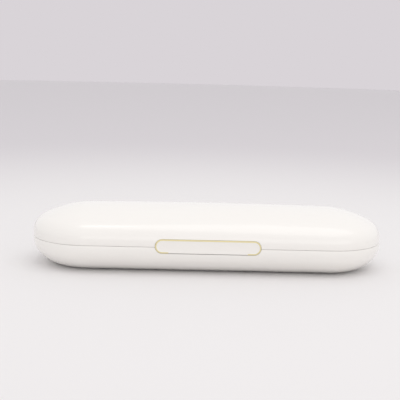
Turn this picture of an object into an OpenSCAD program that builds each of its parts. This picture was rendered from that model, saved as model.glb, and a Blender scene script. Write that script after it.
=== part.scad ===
// Travel case for an electric toothbrush: a hinged clamshell with round ends and a push latch.
// Millimetres. X runs along the case, -Y is the latch side, +Y the hinge side, Z is up.
// The origin is the middle of the whole object's footprint, on the surface it lies on.

/* [Case] */
// Length of the case over both round ends
case_l = 235; // [222:1:260]
// Depth of the case from latch wall to hinge wall
case_w = 76; // [74:0.5:84]
// Height of the lower shell, from its flat underside to the seam
base_h = 19; // [18.5:0.25:21]
// Height of the lid, from the seam to its crown
lid_h = 22.5; // [21:0.25:24]
// Wall of both shells
wall = 2.4; // [2.2:0.1:2.6]

/* [Outline] */
// Radius that turns the lid's side into its top
lid_corner_r = 13; // [12:0.5:14]
// Straight part of the lid's side above the seam
lid_side_h = 3; // [2:0.1:4]
// Radius that turns the lower shell's side into its underside
base_corner_r = 14; // [13:0.5:15]
// Straight part of the lower shell's side below the seam
base_side_h = 1.5; // [1:0.1:2.5]
// Width of the flat underside that the case rests on
base_flat_w = 34; // [30:1:38]

/* [Seam] */
// Height of the tongue that the lid drops over
tongue_h = 1.6; // [1.2:0.1:2.2]
// Thickness of the tongue
tongue_t = 1; // [0.8:0.1:1.1]
// Clearance between the tongue and the lid's lip
seam_play = 0.3; // [0.25:0.05:0.4]
// Visible gap between the two rims
seam_gap = 0.35; // [0.2:0.05:0.5]

/* [Hinge] */
// Distance from the middle of the case to each hinge
hinge_x = 52; // [44:1:60]
// Radius of the hinge barrel
barrel_r = 2.4; // [2.2:0.1:2.8]
// How far the hinge line lies outside the rear wall
hinge_out = 1.2; // [1:0.1:1.6]
// Length of the lid's knuckle
lid_knuckle_l = 13; // [10:0.5:16]
// Length of each of the lower shell's two knuckles
base_knuckle_l = 8; // [6:0.5:10]
// Radius of the hinge pins
hinge_pin_r = 0.8; // [0.7:0.05:0.9]
// Clearance round the barrels
barrel_play = 0.35; // [0.3:0.05:0.5]

/* [Latch] */
// Width of the push plate
latch_w = 68; // [60:1:74]
// Height of the push plate
latch_h = 9.8; // [9.4:0.1:10.4]
// Height of the plate's middle above the seam
latch_rise = 0.7; // [0.4:0.1:1]
// Gap round the plate
latch_gap = 0.35; // [0.3:0.05:0.45]
// Width of the gold line
trim_w = 1; // [0.8:0.1:1.3]
// Thickness of the gold line, let into the plate's face
trim_t = 0.5; // [0.4:0.05:0.6]
// Width of the break in the gold line at the bottom
trim_break_w = 51; // [30:1:54]
// Radius of the latch pin
latch_pin_r = 0.6; // [0.5:0.05:0.65]
// Depth of the latch pin behind the front wall's face
latch_pin_in = 1.5; // [1.45:0.05:1.6]
// Height of the latch pin below the seam
latch_pin_drop = 2.6; // [2.4:0.1:2.7]
// Clearance of a shaft in its bearing
run_play = 0.05; // [0.03:0.01:0.08]
// Width of the hook
hook_w = 20; // [14:1:22]
// Overlap of the hook on the catch
hook_bite = 0.9; // [0.7:0.1:1]
// Height of the catch's ledge above the seam
catch_rise = 6.4; // [6.3:0.1:6.8]
// Thickness of the catch
catch_t = 1; // [0.8:0.1:1.2]
// Distance from the front wall's face to the tip of the catch's ledge
catch_reach = 7; // [6.8:0.1:7.4]
// How far the catch's screwed ears run on behind its ledge
ear_reach = 4.5; // [4.4:0.1:5]
// Free height between the catch and the hook
hook_play = 0.7; // [0.6:0.05:0.8]

/* [Spring] */
// Wire of the latch spring
wire_d = 0.5; // [0.4:0.05:0.6]
// Mean radius of the latch spring's curls
spring_r = 1.9; // [1.6:0.1:2.2]
// Number of curls
spring_curls = 4; // [3:1:4]
// Length of the latch spring as fitted
spring_l = 5; // [4.8:0.1:5.4]

/* [Inside] */
// Length of the handle's well
handle_well_l = 205; // [190:1:208]
// Radius of the handle's well
handle_well_r = 16; // [14:0.25:16.25]
// Width of the tray's deck behind the handle's well
rear_land = 7.2; // [6:0.1:8]
// Length of each brush head's well
head_well_l = 88; // [70:1:92]
// Radius of each brush head's well
head_well_r = 9.5; // [8:0.25:9.75]
// Width of the tray's deck in front of the brush head wells
front_land = 8.2; // [7.8:0.1:9]
// Distance from the middle to the middle of each brush head's well
head_well_x = 52; // [50:1:56]
// Wall of the tray
tray_t = 1.4; // [1.2:0.1:1.5]
// Height of the tray's deck below the seam
tray_drop = 0.5; // [0.3:0.1:1]
// Clearance between the tray and the shell round it
tray_play = 0.4; // [0.3:0.05:0.6]
// Thickness of the lid's lining
lining_t = 1.2; // [1:0.1:1.4]
// Thickness of the soft rests and pads
pad_t = 0.8; // [0.6:0.1:1]
// Width of the soft rests and pads along the case
pad_w = 14; // [10:1:20]
// Distance from the middle to each handle rest and lid pad
pad_x = 58; // [50:1:66]
// Radius of the small screws
screw_r = 1; // [0.8:0.1:1.1]
// Radius of the small screws' heads
screw_head_r = 2; // [1.8:0.1:2.2]
// Radius of the screw posts
post_r = 3; // [2.8:0.1:3.2]
// Distance from the ends of the case to the tray's end screws
screw_inset = 13.5; // [12.5:0.5:15]

/* [Hidden] */
$fn = 96;
shell_white = [0.95, 0.95, 0.94];
liner_grey = [0.80, 0.81, 0.83];
pad_grey = [0.62, 0.64, 0.67];
steel = [0.72, 0.73, 0.75];
gold = [0.85, 0.76, 0.60];
half_w = case_w / 2;
end_x = case_l / 2 - half_w;
seam_z = base_h;
cut = 0.5;
corner_steps = 12;
crown_steps = 7;

// Hinge line, and how far it pushes the object's footprint back
hinge_y = half_w + hinge_out;
hinge_z = seam_z + seam_gap / 2;
back_y = hinge_y + barrel_r;
centre_shift = -(back_y - half_w) / 2;
station_l = lid_knuckle_l + 2 * base_knuckle_l + 2 * barrel_play;
web_h = 4;

// Latch
latch_z = seam_z + latch_rise;
latch_pin_y = -half_w + latch_pin_in;
latch_pin_z = seam_z - latch_pin_drop;
latch_pin_l = latch_w + 3.6;
plate_back_y = -half_w + wall;
lever_t = 1.4;
lever_pad_w = 44;
lever_pad_top = seam_z + latch_rise + latch_h / 2 - 0.6;
lever_pad_low = seam_z + latch_rise - latch_h / 2 + 0.6;
ledge_tip_y = -half_w + catch_reach;
hook_tip_y = ledge_tip_y - hook_bite;
blade_y = ledge_tip_y + 0.4;
blade_t = 1.8;
hook_z = seam_z + catch_rise + catch_t + hook_play;
hook_t = 1.4;
shelf_z = seam_z + 2;
shelf_t = 1.8;
spring_y = blade_y + blade_t;
spring_z = seam_z + 4;
seat_y = spring_y + spring_l;
seat_t = 1.6;
seat_w = 9;
seat_top = spring_z + spring_r + 1;
bay_top = hook_z + hook_t + 4;
catch_w = 44;
ear_w = 9;
ear_y = ledge_tip_y + ear_reach;
catch_screw_x = catch_w / 2 - ear_w / 2;
catch_screw_y = ear_y - screw_head_r - 0.4;
catch_post_r = 2.5;

// Tray and screws
deck_z = seam_z - tray_drop;
deck_t = 1.8;
deck_edge = half_w - wall - tray_play;
handle_well_y = deck_edge - rear_land - handle_well_r;
head_well_y = deck_edge - front_land - head_well_r;
latch_bay_w = 56;
lining_bay_w = latch_w + 6;
latch_bay_y = -head_well_y - head_well_r - tray_t - 0.4;
handle_axis_z = wall + tray_play + tray_t + handle_well_r;
head_axis_z = deck_z - 2.5;
screw_l = 7;
screw_head_t = 1;
screw_recess = 0.2;
tray_screw_x = case_l / 2 - screw_inset;
tray_screw_y = (handle_well_y - head_well_y) / 2 - 3.2;
tray_screw_points = [[-tray_screw_x, tray_screw_y], [tray_screw_x, tray_screw_y],
  [0, -head_well_y], [0, handle_well_y + handle_well_r + tray_t + screw_head_r]];
lining_low_z = seam_z + tongue_h + 1.2;

// Distance from the flat's end to the crown arc's centre follows from the two arcs being tangent
function crown_r(flat, side, h, r) =
  (pow(half_w - r - flat, 2) + pow(h - side, 2) - r * r) / (2 * (h - side - r));

// Moves the case so that the origin is under the middle of the footprint
module place() {
  translate([0, centre_shift, 0]) children();
}

// Points of an arc of radius r round a centre, from one angle to another
function arc(centre, r, from, to, steps) =
  [for (i = [0:steps]) let (a = from + (to - from) * i / steps) centre + r * [cos(a), sin(a)]];

// Outline of half a shell's cross section, t inside its outer face, from the wall at the seam
// (y = 0) to the top on the middle line (y = h). A corner arc and a crown arc meet tangent on
// the line through their two centres.
function half_outline(flat, side, h, r, t) =
  let (
    big_r = crown_r(flat, side, h, r),
    corner = [half_w - r, side],
    crown = [flat, h - big_r],
    meet = atan2(corner[1] - crown[1], corner[0] - crown[0])
  )
  concat([[half_w - t, 0]], arc(corner, r - t, 0, meet, corner_steps),
    arc(crown, big_r - t, meet + (90 - meet) / crown_steps, 90, crown_steps - 1),
    flat > 0 ? [[0, h - t]] : []);

function lid_outline(t) = half_outline(0, lid_side_h, lid_h, lid_corner_r, t);
function base_outline(t) = [for (p = half_outline(base_flat_w / 2, base_side_h, base_h, base_corner_r, t))
  [p[0], -p[1]]];

module lid_section(t) {
  polygon(concat([[0, 0]], lid_outline(t)));
}

module base_section(t) {
  polygon(concat([[0, 0]], base_outline(t)));
}

// Both shells' outlines closed into one, on both sides of the middle line
module case_section(t) {
  upper = lid_outline(t);
  lower = base_outline(t);
  side = concat([for (i = [len(lower) - 1:-1:1]) lower[i]], [for (i = [1:len(upper) - 1]) upper[i]]);
  polygon(concat(side, [for (i = [len(side) - 2:-1:1]) [-side[i][0], side[i][1]]]));
}

// Straight run of a section along X, both sides of the middle
module straight(length) {
  rotate([90, 0, 90]) translate([0, 0, -length / 2]) linear_extrude(length) {
    children();
    mirror([1, 0]) children();
  }
}

// A section run along X and turned round both ends
module capsule(half_length) {
  straight(2 * half_length) children();
  translate([half_length, 0, 0]) rotate(-90) rotate_extrude(angle = 180) children();
  translate([-half_length, 0, 0]) rotate(90) rotate_extrude(angle = 180) children();
}

module lid_body(t) {
  translate([0, 0, seam_z]) capsule(end_x) lid_section(t);
}

module base_body(t) {
  translate([0, 0, seam_z]) capsule(end_x) base_section(t);
}

// A pill outline in plan, t inside the case's outline
module plan(t) {
  square([2 * end_x, case_w - 2 * t], center = true);
  for (side = [-1, 1]) translate([side * end_x, 0]) circle(half_w - t);
}

module band(t, low, high) {
  translate([0, 0, low]) linear_extrude(high - low) plan(t);
}

// A pill standing in the front wall, grown by g, from depth y0 to y1
module front_pill(g, y0, y1) {
  flat = latch_w / 2 - latch_h / 2;
  translate([0, y1, latch_z]) rotate([90, 0, 0]) linear_extrude(y1 - y0) {
    square([2 * flat, latch_h + 2 * g], center = true);
    for (side = [-1, 1]) translate([side * flat, 0]) circle(latch_h / 2 + g);
  }
}

module rod(x, y, z, r, length) {
  translate([x - length / 2, y, z]) rotate([0, 90, 0]) cylinder(r = r, h = length);
}

// Half of a trough's cross section: a half round bottom round the origin, straight sides up to top
module trough_section(r, top) {
  intersection() {
    union() {
      circle(r);
      square([r, r]);
    }
    translate([0, -r]) square([r, r + top]);
  }
}

// A trough along X with round ends, cut off at the height top
module trough(x, y, z, r, length, top, t) {
  translate([x, y, z]) capsule(length / 2 - r) trough_section(r + t, top - z);
}

module handle_well(top, t) {
  trough(0, handle_well_y, handle_axis_z, handle_well_r, handle_well_l, top, t);
}

module head_well(side, top, t) {
  trough(side * head_well_x, -head_well_y, head_axis_z, head_well_r, head_well_l, top, t);
}

// Knuckle with the web that joins it to a wall: up is 1 for the lid and -1 for the base
module knuckle(x, length, up) {
  rod(x, hinge_y, hinge_z, barrel_r, length);
  web_y = half_w - wall / 2;
  low = up > 0 ? hinge_z : hinge_z - web_h;
  translate([x - length / 2, web_y, low]) cube([length, hinge_y - web_y, web_h]);
}

module base_knuckle_places(side) {
  offset_x = lid_knuckle_l / 2 + barrel_play + base_knuckle_l / 2;
  for (end = [-1, 1]) translate([side * hinge_x + end * offset_x, 0, 0]) children();
}

module base_shell() color(shell_white) place() difference() {
  union() {
    difference() {
      union() {
        base_body(0);
        band(wall - tongue_t, seam_z - cut, seam_z + tongue_h);
      }
      base_body(wall);
      band(wall, seam_z - cut, seam_z + tongue_h + cut);
      front_pill(latch_gap, -half_w - 1, plate_back_y + 0.3);
      for (side = [-1, 1]) rod(side * hinge_x, hinge_y, hinge_z, barrel_r + barrel_play,
        lid_knuckle_l + 2 * barrel_play);
    }
    for (side = [-1, 1]) base_knuckle_places(side) knuckle(0, base_knuckle_l, -1);
    intersection() {
      for (point = tray_screw_points) translate([point[0], point[1], 0])
        cylinder(r = point[1] > handle_well_y ? screw_head_r : post_r, h = deck_z - deck_t);
      base_body(wall / 2);
    }
  }
  for (side = [-1, 1]) rod(side * hinge_x, hinge_y, hinge_z, hinge_pin_r, station_l + 1);
  rod(0, latch_pin_y, latch_pin_z, latch_pin_r, latch_pin_l);
  for (point = tray_screw_points) translate([point[0], point[1], deck_z - screw_l - 1])
    cylinder(r = screw_r, h = screw_l + 1);
}

module base_tray() color(liner_grey) place() difference() {
  union() {
    intersection() {
      band(wall + tray_play, deck_z - deck_t, deck_z);
      base_body(wall + tray_play);
    }
    intersection() {
      union() {
        handle_well(deck_z, tray_t);
        for (side = [-1, 1]) head_well(side, deck_z, tray_t);
      }
      base_body(wall + tray_play / 2);
    }
    translate([-seat_w / 2, seat_y, deck_z - cut]) cube([seat_w, seat_t, seat_top - deck_z + cut]);
  }
  handle_well(deck_z + 1, 0);
  for (side = [-1, 1]) head_well(side, deck_z + 1, 0);
  translate([-latch_bay_w / 2, -half_w, deck_z - deck_t - 1])
    cube([latch_bay_w, half_w + latch_bay_y, deck_t + 2]);
  for (point = tray_screw_points) translate([point[0], point[1], deck_z]) {
    translate([0, 0, -deck_t - 1]) cylinder(r = screw_r, h = deck_t + 2);
    translate([0, 0, -screw_head_t]) cylinder(r = screw_head_r + screw_recess, h = screw_head_t + 1);
  }
}

// Pan head screw: the head's seat is at the origin and the shank points down
module screw(length) {
  cylinder(r = screw_head_r, h = screw_head_t - 0.1);
  translate([0, 0, -length]) cylinder(r = screw_r, h = length + 0.1);
}

module tray_screws() color(steel) place()
  for (point = tray_screw_points) translate([point[0], point[1], deck_z - screw_head_t])
    screw(screw_l - screw_head_t);

// Soft band lying in the bottom of a trough of radius r, up to lift below the trough's axis
module trough_rest(x, y, z, r, lift) {
  difference() {
    rod(x, y, z, r, pad_w);
    rod(x, y, z, r - pad_t, pad_w + 1);
    translate([x - pad_w, y - r - 1, z - lift]) cube([2 * pad_w, 2 * r + 2, r + lift + 1]);
  }
}

module handle_rest(side) color(pad_grey) place()
  trough_rest(side * pad_x, handle_well_y, handle_axis_z, handle_well_r, handle_well_r / 2);

module head_rest(side) color(pad_grey) place()
  trough_rest(side * head_well_x, -head_well_y, head_axis_z, head_well_r, head_well_r / 2);

module handle_rest_left() handle_rest(-1);
module handle_rest_right() handle_rest(1);
module head_rest_left() head_rest(-1);
module head_rest_right() head_rest(1);

module hinge_pin(side) color(steel) place()
  rod(side * hinge_x, hinge_y, hinge_z, hinge_pin_r, station_l);
module hinge_pin_left() hinge_pin(-1);
module hinge_pin_right() hinge_pin(1);

module latch_pin() color(steel) place()
  rod(0, latch_pin_y, latch_pin_z, latch_pin_r, latch_pin_l);

// Open coil: one tube of triangles, its ends square to its run
curl_rings = 8;
wire_sides = 6;
spring_rings = spring_curls * curl_rings + 1;
spring_run = spring_l - wire_d - 0.1;
spring_pitch = spring_run / spring_curls;
function spring_point(i) = [spring_r * cos(360 * i / curl_rings),
  spring_y + 0.05 + wire_d / 2 + spring_pitch * i / curl_rings, spring_r * sin(360 * i / curl_rings)];
function spring_vertex(i, j) =
  let (turn = 360 * i / curl_rings, round = 360 * j / wire_sides, out = wire_d / 2 * cos(round))
  spring_point(i) + [out * cos(turn), wire_d / 2 * sin(round), out * sin(turn)];
echo(spring_least_gap = min([for (i = [0:curl_rings]) for (j = [i + 5:i + curl_rings + 4])
  norm(spring_point(i) - spring_point(j)) - wire_d]));

module latch_spring() color(steel) place() translate([0, 0, spring_z]) polyhedron(
  points = [for (i = [0:spring_rings - 1]) for (j = [0:wire_sides - 1]) spring_vertex(i, j)],
  faces = concat(
    [[for (j = [0:wire_sides - 1]) j]],
    [[for (j = [wire_sides - 1:-1:0]) (spring_rings - 1) * wire_sides + j]],
    [for (i = [0:spring_rings - 2]) for (j = [0:wire_sides - 1])
      let (k = (j + 1) % wire_sides, a = i * wire_sides, b = a + wire_sides) [a + j, b + j, a + k]],
    [for (i = [0:spring_rings - 2]) for (j = [0:wire_sides - 1])
      let (k = (j + 1) % wire_sides, a = i * wire_sides, b = a + wire_sides) [a + k, b + j, b + k]]));

module lid_shell() color(shell_white) place() difference() {
  union() {
    difference() {
      lid_body(0);
      lid_body(wall);
      band(wall - tongue_t - seam_play, seam_z - cut, seam_z + tongue_h);
      band(-1, seam_z - cut, seam_z + seam_gap);
      front_pill(latch_gap, -half_w - 1, plate_back_y + 2);
      for (side = [-1, 1]) base_knuckle_places(side)
        rod(0, hinge_y, hinge_z, barrel_r + barrel_play, base_knuckle_l + 2 * barrel_play);
    }
    for (side = [-1, 1]) knuckle(side * hinge_x, lid_knuckle_l, 1);
    intersection() {
      for (side = [-1, 1])
        translate([side * catch_screw_x, catch_screw_y, seam_z + catch_rise + catch_t])
          cylinder(r = catch_post_r, h = lid_h);
      lid_body(wall / 2);
    }
  }
  for (side = [-1, 1]) rod(side * hinge_x, hinge_y, hinge_z, hinge_pin_r + run_play, station_l + 1);
  for (side = [-1, 1]) translate([side * catch_screw_x, catch_screw_y, seam_z + catch_rise])
    cylinder(r = screw_r, h = screw_l);
}

module lid_lining() color(liner_grey) place() difference() {
  lid_body(wall);
  lid_body(wall + lining_t);
  band(-1, seam_z - cut, lining_low_z);
  translate([-lining_bay_w / 2, -half_w, seam_z]) cube([lining_bay_w, half_w + latch_bay_y, bay_top - seam_z]);
  for (side = [-1, 1]) translate([side * catch_screw_x, catch_screw_y, seam_z])
    cylinder(r = catch_post_r + 0.3, h = lid_h);
}

// Soft pad on the lining's ceiling over the handle
module lid_pad(side) color(pad_grey) place() intersection() {
  difference() {
    lid_body(wall + lining_t);
    lid_body(wall + lining_t + pad_t);
  }
  translate([side * pad_x - pad_w / 2, handle_well_y - handle_well_r / 2, seam_z + lid_h / 2])
    cube([pad_w, handle_well_r, lid_h]);
}
module lid_pad_left() lid_pad(-1);
module lid_pad_right() lid_pad(1);

module lid_catch() color(steel) place() difference() {
  intersection() {
    union() {
      translate([-catch_w / 2, -half_w, seam_z + catch_rise])
        cube([catch_w, half_w + ledge_tip_y, catch_t]);
      for (side = [-1, 1]) translate([side * catch_screw_x - ear_w / 2, -half_w, seam_z + catch_rise])
        cube([ear_w, half_w + ear_y, catch_t]);
    }
    lid_body(wall);
  }
  for (side = [-1, 1]) translate([side * catch_screw_x, catch_screw_y, seam_z])
    cylinder(r = screw_r, h = lid_h);
}

module catch_screws() color(steel) place()
  for (side = [-1, 1]) translate([side * catch_screw_x, catch_screw_y, seam_z + catch_rise])
    mirror([0, 0, 1]) screw(screw_l - catch_t);

// Straight run of the closed case, t inside its faces
module front_bar(t) {
  translate([-latch_w / 2 - 1, 0, seam_z]) rotate([90, 0, 90]) linear_extrude(latch_w + 2) case_section(t);
}

// The gold line: a ring round the plate's edge, broken at the bottom
module trim_ring() {
  difference() {
    intersection() {
      front_pill(0, -half_w - 1, plate_back_y);
      front_bar(0);
    }
    front_bar(trim_t);
    front_pill(-trim_w, -half_w - 2, plate_back_y + 1);
    translate([-trim_break_w / 2, -half_w - 2, latch_z - latch_h]) cube([trim_break_w, wall + 4, latch_h]);
  }
}

module latch_plate() color(shell_white) place() difference() {
  intersection() {
    front_pill(0, -half_w - 1, plate_back_y);
    front_bar(0);
  }
  trim_ring();
  rod(0, latch_pin_y, latch_pin_z, latch_pin_r + run_play, latch_w + 2);
}

module latch_trim() color(gold) place() trim_ring();

module latch_lever() color(liner_grey) place() union() {
  translate([-lever_pad_w / 2, plate_back_y, lever_pad_low])
    cube([lever_pad_w, lever_t, lever_pad_top - lever_pad_low]);
  translate([-hook_w / 2, plate_back_y, shelf_z])
    cube([hook_w, blade_y + blade_t - plate_back_y, shelf_t]);
  translate([-hook_w / 2, blade_y, shelf_z]) cube([hook_w, blade_t, hook_z + hook_t - shelf_z]);
  translate([-hook_w / 2, hook_tip_y, hook_z]) cube([hook_w, blade_y + blade_t - hook_tip_y, hook_t]);
}

base_shell();
base_tray();
tray_screws();
handle_rest_left();
handle_rest_right();
head_rest_left();
head_rest_right();
hinge_pin_left();
hinge_pin_right();
latch_pin();
latch_spring();
lid_shell();
lid_lining();
lid_pad_left();
lid_pad_right();
lid_catch();
catch_screws();
latch_plate();
latch_trim();
latch_lever();
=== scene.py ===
"""Looks of a hinged travel case for an electric toothbrush: shells, latch, hinges, lining and studio."""

import logging
import math
from collections.abc import Callable
from dataclasses import dataclass
from enum import Enum

import bpy
from mathutils import Matrix, Vector


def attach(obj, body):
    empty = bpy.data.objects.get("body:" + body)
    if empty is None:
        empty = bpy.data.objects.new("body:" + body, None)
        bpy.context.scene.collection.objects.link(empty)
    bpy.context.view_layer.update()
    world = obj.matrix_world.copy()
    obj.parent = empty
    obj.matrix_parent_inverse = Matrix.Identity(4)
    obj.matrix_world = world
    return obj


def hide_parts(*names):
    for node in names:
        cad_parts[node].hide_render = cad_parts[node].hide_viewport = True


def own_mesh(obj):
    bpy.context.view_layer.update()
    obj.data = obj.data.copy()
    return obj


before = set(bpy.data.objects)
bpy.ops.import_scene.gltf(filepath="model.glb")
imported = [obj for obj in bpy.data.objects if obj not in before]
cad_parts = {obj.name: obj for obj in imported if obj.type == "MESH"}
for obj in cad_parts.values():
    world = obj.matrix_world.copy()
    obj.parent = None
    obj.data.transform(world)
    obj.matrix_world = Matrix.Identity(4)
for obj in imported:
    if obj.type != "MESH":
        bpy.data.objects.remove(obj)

Piece = bpy.types.Object
Socket = bpy.types.NodeSocket
Point = tuple[float, float, float]
Span = tuple[float, float]
Colour = tuple[float, float, float]
Sockets = dict[str, Socket]

log = logging.getLogger("travel_case")
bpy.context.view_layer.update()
MM = 0.001
TOUCH = 1e-6
PAD_CLEAR = 0.02 * MM
SIDES = ((-1, "left"), (1, "right"))
X_AXIS, Y_AXIS, Z_AXIS = (1, 0, 0), (0, 1, 0), (0, 0, 1)


class Slot(Enum):
    """Names of the record's material slots."""

    SHELL = "shell"
    LINER = "liner"
    INNER_PLASTIC = "inner_plastic"
    SOFT = "soft"
    STEEL = "steel"
    GOLD = "gold"


class Body(Enum):
    """Names of the rigid bodies that pieces ride on."""

    BASE = "base"
    LID = "lid"
    LATCH = "latch"


@dataclass(frozen=True)
class CaseSizes:
    """Sizes of the case in metres: the solids' own, with a finer seam and a slightly lower push plate."""

    length: float = 235 * MM
    width: float = 76 * MM
    seam: float = 19 * MM
    lid_h: float = 22.5 * MM
    wall: float = 2.4 * MM
    lid_corner_r: float = 13 * MM
    lid_side_h: float = 3 * MM
    base_corner_r: float = 14 * MM
    base_side_h: float = 1.5 * MM
    base_flat: float = 17 * MM
    tongue_h: float = 1.6 * MM
    tongue_t: float = 1 * MM
    seam_play: float = 0.3 * MM
    seam_gap: float = 0.35 * MM
    seam_shown: float = 0.14 * MM
    hinge_x: float = 52 * MM
    hinge_out: float = 1.2 * MM
    barrel_r: float = 2.4 * MM
    barrel_play: float = 0.35 * MM
    lid_knuckle_l: float = 13 * MM
    base_knuckle_l: float = 8 * MM
    latch_w: float = 68 * MM
    latch_h: float = 9 * MM
    latch_rise: float = 0.7 * MM
    latch_gap: float = 0.28 * MM
    bay_y: float = -28.8 * MM
    catch_x: float = 17.5 * MM
    catch_y: float = -28.9 * MM
    catch_z: float = 25.4 * MM
    catch_t: float = 1 * MM
    spring_z: float = 23 * MM
    seat_y: float = -23.8 * MM
    lining_t: float = 1.2 * MM
    deck_z: float = 18.5 * MM
    deck_t: float = 1.8 * MM
    crown_sag: float = 0.7 * MM

    @property
    def half_w(self) -> float:
        """Half of the width, which is also the radius of the round ends."""
        return self.width / 2

    @property
    def end_x(self) -> float:
        """Distance from the middle to the centre of each round end."""
        return self.length / 2 - self.half_w

    @property
    def shift_y(self) -> float:
        """How far the case's middle lies in front of the footprint's middle."""
        return -(self.hinge_out + self.barrel_r) / 2

    @property
    def hinge_y(self) -> float:
        """Depth of the hinge line, from the case's middle."""
        return self.half_w + self.hinge_out

    @property
    def hinge_z(self) -> float:
        """Height of the hinge line."""
        return self.seam + self.seam_gap / 2

    @property
    def lid_knuckles(self) -> tuple[list[float], float]:
        """Places along X and length of the lid's knuckles."""
        return [side * self.hinge_x for side, _ in SIDES], self.lid_knuckle_l

    @property
    def base_knuckles(self) -> tuple[list[float], float]:
        """Places along X and length of the base's knuckles."""
        gap = self.lid_knuckle_l / 2 + self.barrel_play + self.base_knuckle_l / 2
        return [side * self.hinge_x + end * gap for side, _ in SIDES for end in (-1, 1)], self.base_knuckle_l

    @property
    def latch_z(self) -> float:
        """Height of the push plate's middle."""
        return self.seam + self.latch_rise

    @property
    def latch_flat(self) -> float:
        """Half length of the push plate's straight sides."""
        return self.latch_w / 2 - self.latch_h / 2

    def front_y(self, z: float) -> float:
        """Depth of the case's front face at a height near the seam.

        Args:
            z: Height over the floor.

        Returns:
            The face's Y, from the case's middle.
        """
        up = z - self.seam
        if up > self.lid_side_h:
            r, over = self.lid_corner_r, up - self.lid_side_h
        elif up < -self.base_side_h:
            r, over = self.base_corner_r, -up - self.base_side_h
        else:
            return -self.half_w
        return -(self.half_w - r) - math.sqrt(max(r * r - over * over, 0.0))


SIZES = CaseSizes()


# Hand tools: each one is a step of modelling with the program's own operators.


def clear() -> None:
    """Leave edit mode and deselect everything."""
    if bpy.context.object and bpy.context.object.mode != "OBJECT":
        bpy.ops.object.mode_set(mode="OBJECT")
    bpy.ops.object.select_all(action="DESELECT")


def pick(*pieces: Piece) -> None:
    """Select pieces and make the first one active.

    Args:
        pieces: Objects to select.
    """
    clear()
    for piece in pieces:
        piece.select_set(True)
    bpy.context.view_layer.objects.active = pieces[0]


def edit(piece: Piece) -> None:
    """Open a piece in edit mode."""
    pick(piece)
    bpy.ops.object.mode_set(mode="EDIT")


def take(name: str) -> Piece:
    """Name the primitive that was just added and move its place into its mesh.

    Args:
        name: Name of the object.

    Returns:
        The object.
    """
    piece = bpy.context.object
    piece.name = piece.data.name = name
    bpy.ops.object.transform_apply(location=True, rotation=True, scale=True)
    return piece


def start(name: str, point: Point) -> Piece:
    """Start a piece as one point, in edit mode.

    Args:
        name: Name of the piece.
        point: Where the point lies.

    Returns:
        The new object.
    """
    clear()
    bpy.ops.mesh.primitive_plane_add(size=MM, location=(0, 0, 0))
    piece = take(name)
    bpy.ops.object.mode_set(mode="EDIT")
    bpy.ops.mesh.select_mode(type="VERT")
    bpy.ops.mesh.select_all(action="SELECT")
    bpy.ops.mesh.merge(type="CENTER")
    bpy.ops.transform.translate(value=point)
    return piece


def draw(*runs: Point) -> None:
    """Draw straight edges, one after the other, from the selected point."""
    for run in runs:
        bpy.ops.mesh.extrude_vertices_move(TRANSFORM_OT_translate={"value": run})


def turn(degrees: float, centre: Point, axis: Point, steps: int) -> None:
    """Spin what is selected by the right-hand rule; the operator itself turns the other way."""
    bpy.ops.mesh.spin(steps=steps, angle=-math.radians(degrees), center=centre, axis=axis)


def fill() -> None:
    """Fill the whole outline in edit mode with one face."""
    bpy.ops.mesh.select_all(action="SELECT")
    bpy.ops.mesh.edge_face_add()


def choose(piece: Piece, kind: str, test: Callable[[list[Vector]], bool]) -> None:
    """Select the edges or faces that pass a test, in edit mode.

    Args:
        piece: The object in edit mode.
        kind: EDGE or FACE.
        test: Function of an edge's or face's corner points.
    """
    bpy.ops.mesh.select_mode(type=kind)
    bpy.ops.mesh.select_all(action="DESELECT")
    bpy.ops.object.mode_set(mode="OBJECT")
    for part in piece.data.edges if kind == "EDGE" else piece.data.polygons:
        part.select = test([piece.data.vertices[i].co for i in part.vertices])
    bpy.ops.object.mode_set(mode="EDIT")


def weld() -> None:
    """Merge points that coincide, in edit mode."""
    bpy.ops.mesh.select_all(action="SELECT")
    bpy.ops.mesh.remove_doubles(threshold=TOUCH)


def close_ends() -> None:
    """Weld the mesh in edit mode and close its open ends with a face each."""
    weld()
    bpy.ops.mesh.select_mode(type="EDGE")
    bpy.ops.mesh.select_all(action="DESELECT")
    bpy.ops.mesh.select_non_manifold()
    bpy.ops.mesh.edge_face_add()


def face_out() -> None:
    """Point every face outwards, in edit mode."""
    bpy.ops.mesh.select_all(action="SELECT")
    bpy.ops.mesh.normals_make_consistent(inside=False)


def modify(piece: Piece, kind: str, **settings) -> None:
    """Add a modifier and apply it.

    Args:
        piece: Object to change.
        kind: The modifier's type.
        settings: Values of the modifier.
    """
    pick(piece)
    modifier = piece.modifiers.new(kind.lower(), kind)
    for name, value in settings.items():
        setattr(modifier, name, value)
    bpy.ops.object.modifier_apply(modifier=modifier.name)


def cut(piece: Piece, *tools: Piece, how: str = "DIFFERENCE") -> None:
    """Cut a piece with tool objects, or join them to it, and throw the tools away.

    Args:
        piece: Object to change.
        tools: Objects to cut or join with, in order.
        how: DIFFERENCE or UNION.
    """
    for tool in tools:
        modify(piece, "BOOLEAN", object=tool, operation=how, solver="MANIFOLD")
        bpy.data.objects.remove(tool)


def join(*pieces: Piece) -> None:
    """Make several objects one, which is the first of them."""
    pick(*pieces)
    bpy.ops.object.join()


def soften(piece: Piece, width: float, angle: float = 40, segments: int = 2) -> None:
    """Round a piece's edges that are sharper than an angle in degrees."""
    modify(piece, "BEVEL", width=width, segments=segments, limit_method="ANGLE",
           angle_limit=math.radians(angle), harden_normals=False, use_clamp_overlap=True)


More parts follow.
